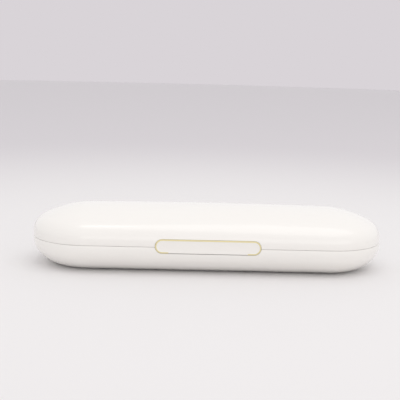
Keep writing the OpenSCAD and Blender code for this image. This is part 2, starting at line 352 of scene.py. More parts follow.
def rod(name: str, centre: Point, radius: float, length: float, axis: str = "X",
        sides: int = 48) -> Piece:
    """A plain cylinder to be shaped further or cut with.

    Args:
        name: Name of the object.
        centre: Its middle.
        radius: Its radius.
        length: Its length.
        axis: X or Z.
        sides: Number of sides.

    Returns:
        The new object, with its place in its mesh.
    """
    clear()
    tilt = math.pi / 2 if axis == "X" else 0
    bpy.ops.mesh.primitive_cylinder_add(vertices=sides, radius=radius, depth=length,
                                        location=centre, rotation=(0, tilt, 0))
    return take(name)


def post(x: float, y: float, low: float, high: float, radius: float, sides: int = 32) -> Piece:
    """An upright cylinder between two heights."""
    return rod("post", (x, y, (low + high) / 2), radius, high - low, "Z", sides)


def block(name: str, width: float, depths: Span, heights: Span, x: float = 0.0) -> Piece:
    """A plain block to be shaped further or cut with.

    Args:
        name: Name of the object.
        width: Its width along X.
        depths: Where its two faces lie along Y.
        heights: Where its two faces lie along Z.
        x: Its middle along X.

    Returns:
        The new object, with its place in its mesh.
    """
    clear()
    low = Vector((x - width / 2, depths[0], heights[0]))
    high = Vector((x + width / 2, depths[1], heights[1]))
    bpy.ops.mesh.primitive_cube_add(size=1, location=(low + high) / 2, scale=high - low)
    return take(name)


def pill(name: str, flat: float, radius: float, z: float, steps: int) -> Piece:
    """A pill outline in the XZ plane, filled with one face, in edit mode.

    Args:
        name: Name of the object.
        flat: Half length of the straight sides.
        radius: Radius of the round ends.
        z: Height of the pill's middle.
        steps: Steps round each end.

    Returns:
        The new object, in edit mode.
    """
    piece = start(name, (-flat, 0, z + radius))
    turn(-180, (-flat, 0, z), Y_AXIS, steps)
    draw((2 * flat, 0, 0))
    turn(-180, (flat, 0, z), Y_AXIS, steps)
    fill()
    return piece


def sweep(piece: Piece, end_x: float, turns: int, runs: int) -> None:
    """Sweep a drawn half section round a quarter of a long round-ended form and mirror it.

    Args:
        piece: Object in edit mode that holds the half section in the plane X = end_x.
        end_x: Distance from the middle to the centre of each round end.
        turns: Steps round a quarter of an end.
        runs: Steps along half of the straight run.
    """
    bpy.ops.mesh.select_all(action="SELECT")
    turn(90, (end_x, 0, 0), Z_AXIS, turns)
    weld()
    choose(piece, "EDGE", lambda points: all(abs(p.x - end_x) < TOUCH for p in points))
    for _ in range(runs):
        bpy.ops.mesh.extrude_edges_move(TRANSFORM_OT_translate={"value": (-end_x / runs, 0, 0)})
    weld()
    modify(piece, "MIRROR", use_axis=(True, True, False), use_clip=True, merge_threshold=TOUCH)
    edit(piece)
    weld()
    face_out()


def shift(piece: Piece, x: float, y: float, z: float) -> Piece:
    """Move a piece by moving its mesh.

    Args:
        piece: Object to move.
        x: Distance along X.
        y: Distance along Y.
        z: Distance along Z.

    Returns:
        The same object.
    """
    clear()
    piece.data.transform(Matrix.Translation((x, y, z)))
    piece.data.update()
    return piece


def twin(piece: Piece, name: str, place: Point) -> Piece:
    """A copy with its own mesh, moved.

    Args:
        piece: Object to copy.
        name: Name of the copy.
        place: Distance along each axis.

    Returns:
        The copy.
    """
    copy = piece.copy()
    copy.data = piece.data.copy()
    copy.name = copy.data.name = name
    bpy.context.scene.collection.objects.link(copy)
    return shift(copy, *place)


@dataclass
class Wires:
    """A node tree that is being wired."""

    tree: bpy.types.NodeTree

    def feed(self, node: bpy.types.Node, inputs: dict) -> None:
        """Feed a node's inputs.

        Args:
            node: The node.
            inputs: A socket to link or a value to set, by the input's name or number.
        """
        for key, value in inputs.items():
            if isinstance(value, Socket):
                self.tree.links.new(value, node.inputs[key])
            else:
                node.inputs[key].default_value = value

    def coords(self) -> Socket:
        """Object coordinates."""
        return self.node("TexCoord").outputs["Object"]

    def node(self, kind: str, inputs: dict | None = None, **settings) -> bpy.types.Node:
        """Add a shader node.

        Args:
            kind: Its type, without ShaderNode in front.
            inputs: What feeds it, as in feed().
            settings: Its own settings.

        Returns:
            The node.
        """
        node = self.tree.nodes.new(f"ShaderNode{kind}")
        for key, value in settings.items():
            setattr(node, key, value)
        self.feed(node, inputs or {})
        return node

    def math(self, how: str, a: Socket | float, b: Socket | float) -> Socket:
        """Result of a maths node."""
        return self.node("Math", {0: a, 1: b}, operation=how).outputs[0]

    def noise(self, coords: Socket, scale: float, detail: float, stretch: Point = (1, 1, 1)) -> Socket:
        """Noise with a number of features per metre, on coordinates that are scaled along each axis."""
        place = self.node("Mapping", {"Vector": coords, "Scale": stretch}).outputs["Vector"]
        return self.node("TexNoise", {"Vector": place, "Scale": scale, "Detail": detail}).outputs["Fac"]

    def blend(self, mask: Socket, first: Colour, second: Colour) -> Socket:
        """Two colours mixed by a mask."""
        return self.node("Mix", {0: mask, 6: (*first, 1), 7: (*second, 1)}, data_type="RGBA").outputs[2]

    def effect(self, name: str, build: Callable, values: dict[str, float]) -> bpy.types.Node:
        """Place a shared effect, a node group that is built when it is first asked for.

        Args:
            name: Name of the group.
            build: Function of the group's wires and inputs that gives its outputs by name.
            values: Values of the group's inputs in this tree.

        Returns:
            The group's node.
        """
        group = bpy.data.node_groups.get(name)
        if group is None:
            group = bpy.data.node_groups.new(name, "ShaderNodeTree")
            for key, value in values.items():
                socket = group.interface.new_socket(key, in_out="INPUT", socket_type="NodeSocketFloat")
                socket.default_value = value
            inner = Wires(group)
            made = build(inner, group.nodes.new("NodeGroupInput").outputs)
            for key in made:
                group.interface.new_socket(key, in_out="OUTPUT", socket_type="NodeSocketFloat")
            inner.feed(group.nodes.new("NodeGroupOutput"), made)
        return self.node("Group", values, node_tree=group)


@dataclass(frozen=True)
class Finish:
    """One finish: its slot, its two close tones and its surface.

    Each kind of finish has its own effect, with values() for its inputs and pattern() for its nodes.
    """

    name: str
    slot: Slot
    tone: Colour
    tone_b: Colour
    roughness: float
    metallic: float = 0.0
    coat: float = 0.0
    coat_roughness: float = 0.12
    bump: float = 0.02
    relief: float = 0.02 * MM

    def material(self) -> bpy.types.Material:
        """The finish's material, made once.

        Returns:
            The material.
        """
        known = bpy.data.materials.get(self.name)
        if known:
            return known
        material = bpy.data.materials.new(self.name)
        material.use_nodes = True
        material.diffuse_color = (*self.tone, 1.0)
        wires = Wires(material.node_tree)
        made = wires.effect(type(self).__name__, self.pattern, self.values()).outputs
        bump = wires.node("Bump", {"Strength": self.bump, "Distance": self.relief, "Height": made["Height"]})
        shader = material.node_tree.nodes["Principled BSDF"]
        wires.feed(shader, {"Base Color": wires.blend(made["Mask"], self.tone, self.tone_b),
                            "Metallic": self.metallic, "Roughness": self.roughness,
                            "Coat Weight": self.coat, "Coat Roughness": self.coat_roughness,
                            "Normal": bump.outputs["Normal"]})
        if "Roughness" in made:
            wires.feed(shader, {"Roughness": made["Roughness"]})
        return material


@dataclass(frozen=True)
class GlossShell(Finish):
    """Polished moulded plastic with the faint smudges and hairlines that handling leaves."""

    smudge: float = 0.03
    hairline: float = 0.02

    def values(self) -> dict[str, float]:
        """Values of the effect's inputs."""
        return {"Roughness": self.roughness, "Smudge": self.smudge, "Hairline": self.hairline}

    def pattern(self, wires: Wires, given: Sockets) -> Sockets:
        """Wire broad smudges and fine hairs along X.

        Args:
            wires: The group's wires.
            given: The group's inputs.

        Returns:
            The group's outputs.
        """
        coords = wires.coords()
        broad = wires.noise(coords, scale=28.0, detail=2.0)
        ramp = wires.node("MapRange", {"Value": broad, "From Min": 0.42, "From Max": 0.68})
        smudges = ramp.outputs["Result"]
        fine = wires.noise(coords, scale=420.0, detail=4.0)
        hairs = wires.noise(coords, scale=900.0, detail=2.0, stretch=(0.06, 1.0, 1.0))
        dulled = wires.math("ADD", given["Roughness"], wires.math("MULTIPLY", smudges, given["Smudge"]))
        scored = wires.math("MULTIPLY", wires.math("SUBTRACT", hairs, 0.5), given["Hairline"])
        return {"Mask": smudges, "Roughness": wires.math("ADD", dulled, scored),
                "Height": wires.math("ADD", fine, wires.math("MULTIPLY", hairs, 0.3))}


@dataclass(frozen=True)
class SatinMoulding(Finish):
    """Fine-grained moulded plastic or rubber; grain is the size of a grain in millimetres."""

    grain: float = 0.35
    relief: float = 0.08 * MM

    def values(self) -> dict[str, float]:
        """Values of the effect's inputs."""
        return {"Grain Size": self.grain}

    def pattern(self, wires: Wires, given: Sockets) -> Sockets:
        """Wire the mould's grain and a soft mottle.

        Args:
            wires: The group's wires.
            given: The group's inputs.

        Returns:
            The group's outputs.
        """
        coords = wires.coords()
        scale = wires.math("DIVIDE", 1 / MM, given["Grain Size"])
        grain = wires.node("TexVoronoi", {"Vector": coords, "Scale": scale}, feature="SMOOTH_F1")
        return {"Mask": wires.noise(coords, scale=60.0, detail=3.0), "Height": grain.outputs["Distance"]}


@dataclass(frozen=True)
class BrushedMetal(Finish):
    """Drawn or brushed metal with long fine streaks along X."""

    streak: float = 0.15
    relief: float = 0.01 * MM

    def values(self) -> dict[str, float]:
        """Values of the effect's inputs."""
        return {"Roughness": self.roughness, "Streak": self.streak}

    def pattern(self, wires: Wires, given: Sockets) -> Sockets:
        """Wire the streaks.

        Args:
            wires: The group's wires.
            given: The group's inputs.

        Returns:
            The group's outputs.
        """
        streaks = wires.noise(wires.coords(), scale=2600.0, detail=3.0, stretch=(0.03, 1.0, 1.0))
        uneven = wires.math("MULTIPLY", wires.math("SUBTRACT", streaks, 0.5), given["Streak"])
        rough = wires.math("ADD", given["Roughness"], uneven)
        return {"Mask": streaks, "Roughness": rough, "Height": streaks}


SHELL = GlossShell("warm_white_gloss", Slot.SHELL, (0.88, 0.86, 0.826), (0.876, 0.855, 0.821), 0.24,
                   coat=0.8, bump=0.008)
PLATE = GlossShell("plate_white_gloss", Slot.SHELL, (0.87, 0.85, 0.812), (0.866, 0.845, 0.807), 0.28,
                   coat=0.6, bump=0.008)
GOLD = BrushedMetal("champagne_gold", Slot.GOLD, (0.80, 0.715, 0.41), (0.74, 0.655, 0.37), 0.42,
                    metallic=0.5, bump=0.05)
LINER = SatinMoulding("tray_satin", Slot.LINER, (0.62, 0.62, 0.62), (0.58, 0.58, 0.585), 0.48, bump=0.25)
INNER = SatinMoulding("lever_satin", Slot.INNER_PLASTIC, (0.66, 0.66, 0.65), (0.61, 0.61, 0.60), 0.42,
                      bump=0.2)
SOFT = SatinMoulding("pad_rubber", Slot.SOFT, (0.27, 0.28, 0.30), (0.22, 0.23, 0.25), 0.75,
                     bump=0.4, grain=0.5)
STEEL = BrushedMetal("plain_steel", Slot.STEEL, (0.62, 0.63, 0.64), (0.50, 0.51, 0.52), 0.28,
                     metallic=1.0, bump=0.08)


def finish_piece(piece: Piece, finish: Finish, body: Body, node: str, sharp: float = 32) -> None:
    """Shade a piece, move it from the case's own middle to the frame, and say what it is.

    Args:
        piece: The modelled piece.
        finish: Its finish.
        body: The body it rides on.
        node: The CAD node it replaces.
        sharp: Angle in degrees over which an edge stays sharp.
    """
    pick(piece)
    bpy.ops.object.shade_smooth_by_angle(angle=math.radians(sharp))
    shift(piece, 0, SIZES.shift_y, 0)
    piece.data.materials.clear()
    piece.data.materials.append(finish.material())
    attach(piece, body.value)
    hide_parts(node)
    log.info("%s: %d faces, on %s", piece.name, len(piece.data.polygons), body.value)


def sag(piece: Piece, level_up_to: float = 0.12, most: float = 1.25) -> None:
    """Let the lid's crown fall away a little towards both ends, so that it isn't dead level.

    Args:
        piece: A piece of the lid.
        level_up_to: Share of the lid's height up to which nothing moves.
        most: Greatest distance along X that counts, as a share of the straight run's.
    """
    for vertex in piece.data.vertices:
        up = (vertex.co.z - SIZES.seam) / SIZES.lid_h
        if up > level_up_to:
            along = min(abs(vertex.co.x) / SIZES.end_x, most)
            vertex.co.z -= SIZES.crown_sag * along ** 2 * (up - level_up_to) / (1 - level_up_to)
    piece.data.update()


@dataclass
class RibbedPad:
    """A soft ribbed band that lies on a curved wall, drawn as a profile and turned about the wall's axis.

    The start angle and the sweep are in degrees from straight down, or from straight up in the lid.
    """

    radius: float
    start: float
    sweep: float
    in_lid: bool = False
    width: float = 14 * MM
    thickness: float = 0.8 * MM
    ribs: int = 3
    rib_share: float = 0.20
    edge_share: float = 0.12
    edge_power: int = 8
    end_share: float = 0.25
    end_power: int = 10
    corner_r: float = 2.6 * MM
    samples: int = 42
    turns: int = 48

    @property
    def up(self) -> int:
        """1 where the wall lies over its axis, -1 where it lies under it."""
        return 1 if self.in_lid else -1

    def height(self, x: float) -> float:
        """Thickness of the pad at a distance from the middle of its width.

        Args:
            x: The distance.

        Returns:
            The thickness there.
        """
        across = abs(2 * x / self.width)
        rib = 1 - self.rib_share + self.rib_share * math.cos(2 * math.pi * self.ribs * x / self.width)
        return self.thickness * max(rib * math.sqrt(1 - across ** self.edge_power), self.edge_share)

    def build(self, name: str, axis_point: Vector, node: str) -> None:
        """Model and finish the pad.

        Args:
            name: Name of the piece.
            axis_point: Middle of the pad's width, on the wall's axis.
            node: The CAD node it replaces.
        """
        first = math.radians(self.start)
        out = Vector((0, math.sin(first), self.up * math.cos(first)))
        piece = start(name, axis_point + out * self.radius - Vector((self.width / 2, 0, 0)))
        draw((self.width, 0, 0))
        last = 0.0
        for i in range(self.samples + 1):
            x = self.width / 2 - self.width * i / self.samples
            rise = -(self.height(x) - last)
            draw((0 if i == 0 else -self.width / self.samples, out.y * rise, out.z * rise))
            last = self.height(x)
        fill()
        turn(-self.up * self.sweep, axis_point, X_AXIS, self.turns)
        close_ends()
        face_out()
        clear()
        self.round_ends(piece, axis_point)
        if self.in_lid:
            sag(piece)
        finish_piece(piece, SOFT, Body.LID if self.in_lid else Body.BASE, node, sharp=50)

    def round_ends(self, piece: Piece, axis_point: Vector) -> None:
        """Thin the pad out towards both ends of its turn, and round its corners.

        Args:
            piece: The pad.
            axis_point: A point on the wall's axis.
        """
        for vertex in piece.data.vertices:
            arm = vertex.co - axis_point
            arm.x = 0
            angle = math.degrees(math.atan2(arm.y, self.up * arm.z))
            share = min(abs(2 * (angle - self.start) / self.sweep - 1), 1.0)
            keep = max(math.sqrt(1 - share ** self.end_power), self.end_share)
            vertex.co += arm.normalized() * (self.radius - arm.length) * (1 - keep)
            left = (1 - share) * math.radians(self.sweep) / 2 * self.radius
            if left < self.corner_r:
                inset = self.corner_r - math.sqrt(self.corner_r ** 2 - (self.corner_r - left) ** 2)
                vertex.co.x = axis_point.x + (vertex.co.x - axis_point.x) * (1 - 2 * inset / self.width)
        piece.data.update()


@dataclass
class PanScrew:
    """A small pan head screw with a cross recess, its head up or down."""

    head_up: bool = True
    head_r: float = 1.98 * MM
    head_t: float = 0.9 * MM
    head_fall: float = 0.42 * MM
    shank_r: float = 0.95 * MM
    shank_l: float = 5.5 * MM
    tip_l: float = 0.5 * MM
    tip_w: float = 0.3 * MM
    rings: tuple[float, ...] = (0.30 * MM, 0.35 * MM, 0.4 * MM)
    slot_l: float = 2.1 * MM
    slot_w: float = 0.42 * MM
    slot_d: float = 0.5 * MM
    sides: int = 40

    def build(self) -> Piece:
        """Model one screw with its head's seat at the origin.

        Returns:
            The piece.
        """
        piece = rod("screw", (0, 0, self.head_t / 2), self.head_r, self.head_t, "Z", self.sides)
        crown = self.head_t * 0.9
        edit(piece)
        choose(piece, "FACE", lambda points: all(p.z > crown for p in points))
        for ring in self.rings:
            bpy.ops.mesh.inset(thickness=ring, depth=0)
        choose(piece, "FACE", lambda points: all(abs(p.z) < TOUCH for p in points))
        bpy.ops.mesh.inset(thickness=self.head_r - self.shank_r, depth=0)
        bpy.ops.mesh.extrude_region_move(TRANSFORM_OT_translate={"value": (0, 0, -self.shank_l)})
        bpy.ops.mesh.inset(thickness=self.tip_w, depth=0)
        bpy.ops.transform.translate(value=(0, 0, -self.tip_l))
        clear()
        for vertex in piece.data.vertices:
            if vertex.co.z > crown:
                vertex.co.z -= self.head_fall * (math.hypot(vertex.co.x, vertex.co.y) / self.head_r) ** 3
        for w, d in ((self.slot_l, self.slot_w), (self.slot_w, self.slot_l)):
            cut(piece, block("slot", w, (-d / 2, d / 2), (self.head_t - self.slot_d, self.head_t + 1 * MM)))
        if not self.head_up:
            piece.data.transform(Matrix.Rotation(math.pi, 4, "X"))
        return piece

    def drive(self, places: dict[str, Point], body: Body, node: str) -> None:
        """Make one screw and set a copy of it at each place.

        Args:
            places: Where the heads are seated, by the screws' names.
            body: The body they ride on.
            node: The CAD node they replace.
        """
        pattern = self.build()
        for name, place in places.items():
            finish_piece(twin(pattern, name, place), STEEL, body, node, sharp=35)
        bpy.data.objects.remove(pattern)


@dataclass
class SteelPin:
    """A steel pin along X with turned ends."""

    radius: float
    length: float
    turned: float = 0.3

    def build(self, name: str, centre: Point, node: str) -> None:
        """Model and finish the pin.

        Args:
            name: Name of the piece.
            centre: Its middle.
            node: The CAD node it replaces.
        """
        piece = rod(name, centre, self.radius, self.length, "X", 32)
        edit(piece)
        choose(piece, "FACE", lambda points: len(points) > 4)
        bpy.ops.mesh.inset(thickness=self.radius * self.turned, depth=0)
        clear()
        for vertex in piece.data.vertices:
            out = math.hypot(vertex.co.y - centre[1], vertex.co.z - centre[2])
            if out > self.radius * 0.9:
                vertex.co.x -= math.copysign(self.radius * self.turned, vertex.co.x - centre[0])
        finish_piece(piece, STEEL, Body.BASE, node, sharp=35)


@dataclass
class Hinges:
    """The two hinge pins; their knuckles are moulded on the shells."""

    pin_r: float = 0.8 * MM
    pin_l: float = 29.7 * MM

    def build(self) -> None:
        """Model both pins."""
        for side, name in SIDES:
            SteelPin(self.pin_r, self.pin_l).build(
                f"hinge_steel_pin_{name}", (side * SIZES.hinge_x, SIZES.hinge_y, SIZES.hinge_z),
                f"hinge_pin_{name}")


@dataclass
class Shell:
    """One half of the clamshell, drawn as a section and swept round a quarter of the case.

    A section has a crown arc, with a flat in its middle where flat isn't nought, a corner arc and a side.
    """

    up: int
    flat: float
    side: float
    height: float
    corner_r: float
    crown_steps: int = 14
    corner_steps: int = 22
    end_steps: int = 30
    run_steps: int = 12
    edge_round: float = 0.28 * MM
    knuckle_round: float = 0.25 * MM
    bore_r: float = 0.84 * MM
    web_h: float = 4 * MM
    notch_front: float = 1 * MM
    notch_d: float = 6 * MM

    @property
    def crown_r(self) -> float:
        """Radius of the crown arc that meets the corner arc tangent."""
        run, rise = SIZES.half_w - self.corner_r - self.flat, self.height - self.side
        return (run ** 2 + rise ** 2 - self.corner_r ** 2) / (2 * (rise - self.corner_r))

    @property
    def crown_centre(self) -> Point:
        """Centre of the crown arc."""
        return SIZES.end_x, -self.flat, SIZES.seam + self.up * (self.height - self.crown_r)

    @property
    def corner_centre(self) -> Point:
        """Centre of the corner arc."""
        return SIZES.end_x, -(SIZES.half_w - self.corner_r), SIZES.seam + self.up * self.side

    @property
    def meet(self) -> float:
        """Angle in degrees over the level at which the two arcs meet."""
        run = SIZES.half_w - self.corner_r - self.flat
        return math.degrees(math.atan2(self.side - (self.height - self.crown_r), run))

    def outer(self, name: str, low: float, inset: float = 0.0) -> Piece:
        """Draw the section's outer line from its crown to the end of its side.

        Args:
            name: Name of the piece.
            low: Distance from the seam at which the side ends.
            inset: Distance inside the outer face.

        Returns:
            The object in edit mode, with the side's point selected.
        """
        piece = start(name, (SIZES.end_x, 0, SIZES.seam + self.up * (self.height - inset)))
        if self.flat:
            draw((0, -self.flat, 0))
        turn(self.up * (90 - self.meet), self.crown_centre, X_AXIS, self.crown_steps)
        turn(self.up * self.meet, self.corner_centre, X_AXIS, self.corner_steps)
        draw((0, 0, self.up * (low - self.side)))
        return piece

    def inner(self, low: float) -> None:
        """Draw the section's inner line from the selected point back to the crown.

        Args:
            low: Distance from the seam at which the inner side starts.
        """
        draw((0, 0, self.up * (self.side - low)))
        turn(-self.up * self.meet, self.corner_centre, X_AXIS, self.corner_steps)
        turn(-self.up * (90 - self.meet), self.crown_centre, X_AXIS, self.crown_steps)
        if self.flat:
            draw((0, self.flat, 0))

    def sweep(self, piece: Piece) -> None:
        """Sweep the drawn section round the case and round its edges.

        Args:
            piece: Object in edit mode that holds the section at the round end's centre.
        """
        sweep(piece, SIZES.end_x, self.end_steps, self.run_steps)
        bpy.ops.mesh.select_mode(type="EDGE")
        bpy.ops.mesh.select_all(action="DESELECT")
        bpy.ops.mesh.edges_select_sharp(sharpness=math.radians(50))
        bpy.ops.mesh.bevel(offset=self.edge_round, segments=3, affect="EDGES")
        clear()

    def knuckles(self, places: list[float], length: float) -> Piece:
        """Hinge knuckles with their webs and bores, as one object.

        Args:
            places: Where each knuckle lies along X.
            length: Length of each knuckle.

        Returns:
            The joined object.
        """
        s = SIZES
        low = s.hinge_z if self.up > 0 else s.hinge_z - self.web_h
        barrels = []
        for x in places:
            centre = (x, s.hinge_y, s.hinge_z)
            barrels.append(rod("barrel", centre, s.barrel_r, length))
            web = block("web", length, (s.half_w - s.wall / 2, s.hinge_y), (low, low + self.web_h), x)
            cut(barrels[-1], web, how="UNION")
            cut(barrels[-1], rod("bore", centre, self.bore_r, length * 1.2))
        join(*barrels)
        soften(barrels[0], self.knuckle_round)
        return barrels[0]

    def front_notch(self) -> Piece:
        """The pill-shaped tool that opens the front wall for the push plate.

        Returns:
            The tool.
        """
        s = SIZES
        tool = pill("notch", s.latch_flat, s.latch_h / 2 + s.latch_gap, s.latch_z, 24)
        bpy.ops.transform.translate(value=(0, -s.half_w - self.notch_front, 0))
        bpy.ops.mesh.extrude_region_move(TRANSFORM_OT_translate={"value": (0, self.notch_d, 0)})
        face_out()
        clear()
        return tool

    def complete(self, piece: Piece, posts: list[Piece], body: Body, node: str) -> None:
        """Open the shell for the plate and the other shell's knuckles, and add its own and its posts.

        Args:
            piece: The swept shell.
            posts: Screw posts inside it.
            body: The body it rides on.
            node: The CAD node it replaces.
        """
        s = SIZES
        own, other = s.lid_knuckles, s.base_knuckles
        if self.up < 0:
            own, other = other, own
        cut(piece, self.front_notch())
        for x in other[0]:
            cut(piece, rod("relief", (x, s.hinge_y, s.hinge_z), s.barrel_r + s.barrel_play,
                           other[1] + 2 * s.barrel_play))
        join(piece, self.knuckles(*own), *posts)
        finish_piece(piece, SHELL, body, node)


@dataclass
class Lid(Shell):
    """The lid's shell, lining, pads and steel catch."""

    up: int = 1
    flat: float = 0.0
    side: float = SIZES.lid_side_h
    height: float = SIZES.lid_h
    corner_r: float = SIZES.lid_corner_r
    tongue_clear: float = 0.05 * MM
    post_r: float = 2.5 * MM
    post_top: float = 32.85 * MM
    hole_r: float = 2.8 * MM
    hole_top: float = 43 * MM
    lining_low: float = 2.8 * MM
    lining_clear: float = 0.03 * MM
    bay_w: float = 74 * MM
    bay_h: float = 13.5 * MM
    bay_round: float = 3 * MM
    pad_x: float = 58 * MM
    pad_from: float = 4 * MM
    pad_to: float = 20 * MM
    catch_w: float = 44 * MM
    catch_front: float = -35 * MM
    catch_rear: float = -31 * MM
    ear_w: float = 9 * MM
    ear_rear: float = -26.5 * MM
    ear_round: float = 2.5 * MM

    def build_shell(self) -> None:
        """Model the lid's shell with its lip and catch posts."""
        s = SIZES
        lip = s.wall - s.tongue_t - s.seam_play
        ceiling = s.tongue_h + self.tongue_clear
        piece = self.outer("lid_gloss_shell", s.seam_shown)
        draw((0, lip, 0), (0, 0, ceiling - s.seam_shown), (0, s.wall - lip, 0))
        self.inner(ceiling)
        self.sweep(piece)
        sag(piece)
        posts = [post(side * s.catch_x, s.catch_y, s.catch_z + s.catch_t, self.post_top, self.post_r)
                 for side, _ in SIDES]
        self.complete(piece, posts, Body.LID, "lid_shell")

    def build_lining(self) -> None:
        """Model the thin lining, open round the catch and its posts."""
        s = SIZES
        inset = s.wall + self.lining_clear
        piece = self.outer("lid_inner_lining", self.lining_low, inset)
        draw((0, s.wall + s.lining_t - inset, 0))
        self.inner(self.lining_low)
        sweep(piece, s.end_x, self.end_steps, self.run_steps)
        clear()
        sag(piece)
        bay = block("bay", self.bay_w, (-s.half_w, s.bay_y), (s.seam, s.seam + self.bay_h))
        soften(bay, self.bay_round, segments=6)
        holes = [post(side * s.catch_x, s.catch_y, s.seam, self.hole_top, self.hole_r)
                 for side, _ in SIDES]
        cut(piece, bay, *holes)
        soften(piece, 0.25 * MM, 50)
        finish_piece(piece, LINER, Body.LID, "lid_lining")

    def build_pads(self) -> None:
        """Model the two ribbed pads that hold the handle down."""
        ceiling = self.crown_r - SIZES.wall - SIZES.lining_t
        near, far = (math.degrees(math.asin(y / ceiling)) for y in (self.pad_from, self.pad_to))
        pad = RibbedPad(ceiling - PAD_CLEAR, near, far - near, in_lid=True)
        for side, name in SIDES:
            axis_point = Vector((side * self.pad_x, 0, self.crown_centre[2]))
            pad.build(f"lid_rubber_pad_{name}", axis_point, f"lid_pad_{name}")

    def build_catch(self) -> None:
        """Model the steel catch: a ledge with two screwed ears."""
        s = SIZES
        heights = s.catch_z, s.catch_z + s.catch_t
        piece = block("catch_plate", self.catch_w, (self.catch_front, self.catch_rear), heights)
        for side, _ in SIDES:
            ear = block("ear", self.ear_w, (self.catch_front, self.ear_rear), heights, side * s.catch_x)
            edit(ear)
            choose(ear, "EDGE", lambda points: all(abs(p.y - self.ear_rear) < TOUCH for p in points)
                   and abs(points[0].z - points[1].z) > s.catch_t / 2)
            bpy.ops.mesh.bevel(offset=self.ear_round, segments=8, affect="EDGES")
            cut(piece, ear, how="UNION")
        soften(piece, 0.15 * MM, 50)
        finish_piece(piece, STEEL, Body.LID, "lid_catch", sharp=40)

    def build_screws(self) -> None:
        """Model the catch's two screws, whose heads look down."""
        places = {f"catch_screw_{name}": (side * SIZES.catch_x, SIZES.catch_y, SIZES.catch_z)
                  for side, name in SIDES}
        PanScrew(head_up=False).drive(places, Body.LID, "catch_screws")


@dataclass(frozen=True)
class Boss:
    """A post in the base, under one of the tray's screws."""

    x: float
    y: float
    foot: float
    radius: float


BOSSES = (Boss(-104 * MM, -5.95 * MM, 3.3 * MM, 3 * MM), Boss(104 * MM, -5.95 * MM, 3.3 * MM, 3 * MM),
          Boss(0.0, -17.5 * MM, 2 * MM, 3 * MM), Boss(0.0, 31.4 * MM, 8 * MM, 2 * MM))


@dataclass
class Base(Shell):
    """The lower shell."""

    up: int = -1
    flat: float = SIZES.base_flat
    side: float = SIZES.base_side_h
    height: float = SIZES.seam
    corner_r: float = SIZES.base_corner_r
    boss_clear: float = 0.05 * MM

    def build_shell(self) -> None:
        """Model the lower shell with its tongue and screw posts."""
        s = SIZES
        piece = self.outer("base_gloss_shell", 0)
        draw((0, s.wall - s.tongue_t, 0), (0, 0, s.tongue_h), (0, s.tongue_t, 0))
        self.inner(-s.tongue_h)
        self.sweep(piece)
        top = s.deck_z - s.deck_t - self.boss_clear
        posts = [post(boss.x, boss.y, boss.foot, top, boss.radius) for boss in BOSSES]
        self.complete(piece, posts, Body.BASE, "base_shell")


@dataclass(frozen=True)
class Well:
    """A long well of the tray with round ends; its place is the middle of its axis."""

    place: Point
    radius: float
    length: float
    turns: int = 24

    def middle(self, x: float) -> Vector:
        """A point on the axis, given by its X."""
        return Vector((x, *self.place[1:]))

    def form(self, side: int, grow: float, top: float) -> Piece:
        """The well as a solid form.

        Args:
            side: 1, or -1 for the well's mirror image.
            grow: How far the form lies outside the well.
            top: Height at which it ends.

        Returns:
            The form.
        """
        place = self.middle(side * self.place[0])
        half = self.length / 2 - self.radius
        r = self.radius + grow
        piece = start("well", (half, 0, -r))
        tilt = math.asin(min(top - place.z, 0.0) / r)
        turn(-(90 + math.degrees(tilt)), (half, 0, 0), X_AXIS, self.turns)
        if top > place.z:
            draw((0, 0, top - place.z))
        draw((0, r * math.cos(tilt), 0))
        sweep(piece, half, self.turns, 1)
        return shift(piece, *place)


